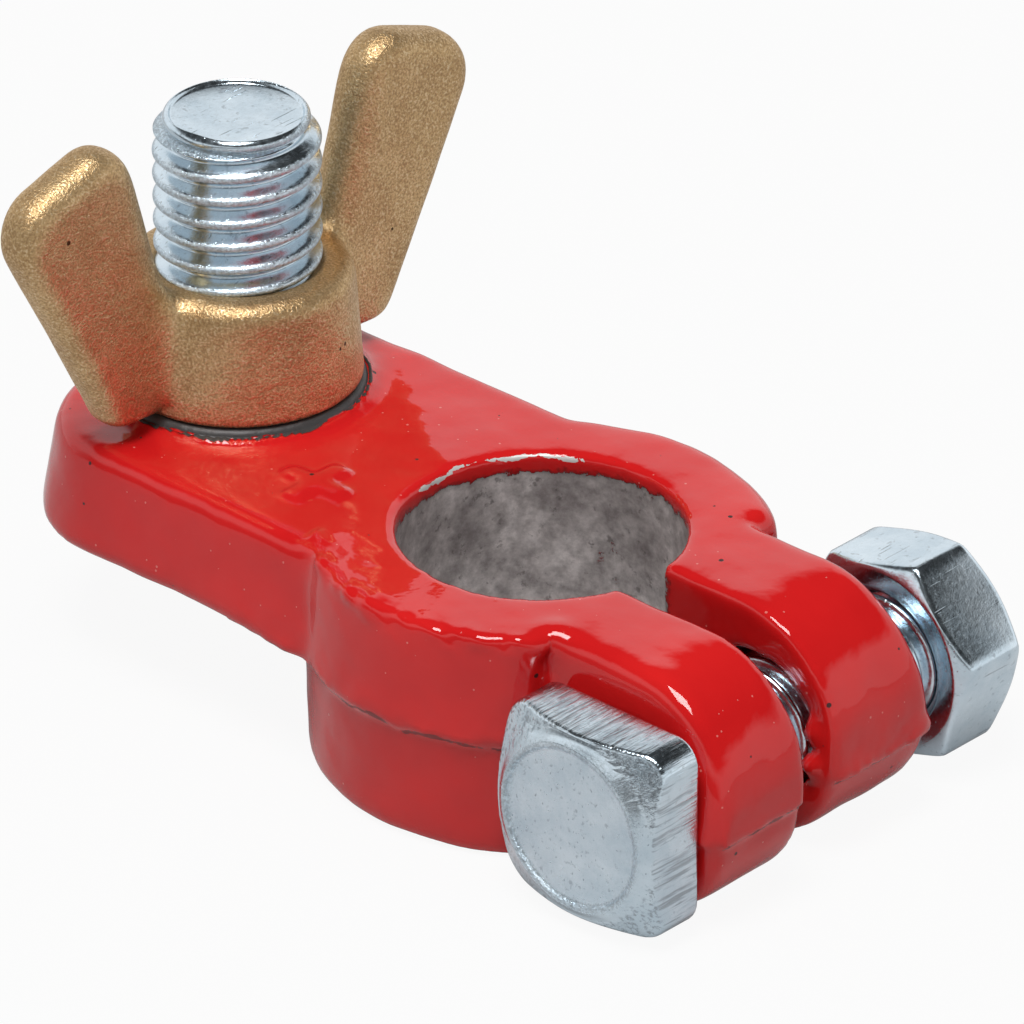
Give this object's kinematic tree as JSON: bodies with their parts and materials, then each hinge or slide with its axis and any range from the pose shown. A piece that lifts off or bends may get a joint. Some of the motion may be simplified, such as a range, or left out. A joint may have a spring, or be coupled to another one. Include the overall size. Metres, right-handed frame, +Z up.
{
  "type": "battery terminal clamp",
  "caption": "Split lead clamp for a vehicle battery post, with a threaded stud and wing nut for cables, and a square-head bolt and nut that draw its ears together.",
  "frame": {"origin": "on the post axis, in the plane of the collar's underside, where the battery post enters", "axes": "+Z up along the post axis, +X from the stud towards the ears, +Y from the bolt's head towards its nut"},
  "size_m": [0.0568, 0.0368, 0.0342],
  "materials": {
    "red_enamel": "glossy red enamel over a lead casting, bare lead inside the post socket and on the pad",
    "zinc_plate": "bright zinc plate on steel, slightly bluish",
    "cast_brass": "as-cast brass with a fine sandy grain"
  },
  "bodies": {
    "clamp": {"clamp_body": "red_enamel", "stud": "zinc_plate"},
    "bolt": {"clamp_bolt": "zinc_plate"},
    "nut": {"hex_nut": "zinc_plate"},
    "wing": {"wing_nut": "cast_brass"}
  },
  "joints": [
    {"name": "nut_turn", "type": "hinge", "parent": "clamp", "child": "nut", "pos_m": [0.0156, 0.012, 0.0067], "axis": [0, 1, 0], "range_deg": [0, 576]},
    {"name": "bolt_slide", "type": "slide", "parent": "clamp", "child": "bolt", "axis": [0, 1, 0], "range_m": [-0.002, 0]},
    {"name": "wing_nut_turn", "type": "hinge", "parent": "clamp", "child": "wing", "pos_m": [-0.0248, 0.0005, 0.0155], "axis": [0, 0, 1], "range_deg": [0, 2250]}
  ],
  "couplings": [
    {"joint": "nut_turn", "follows": "bolt_slide", "rad_per_m": -5026.5}
  ]
}
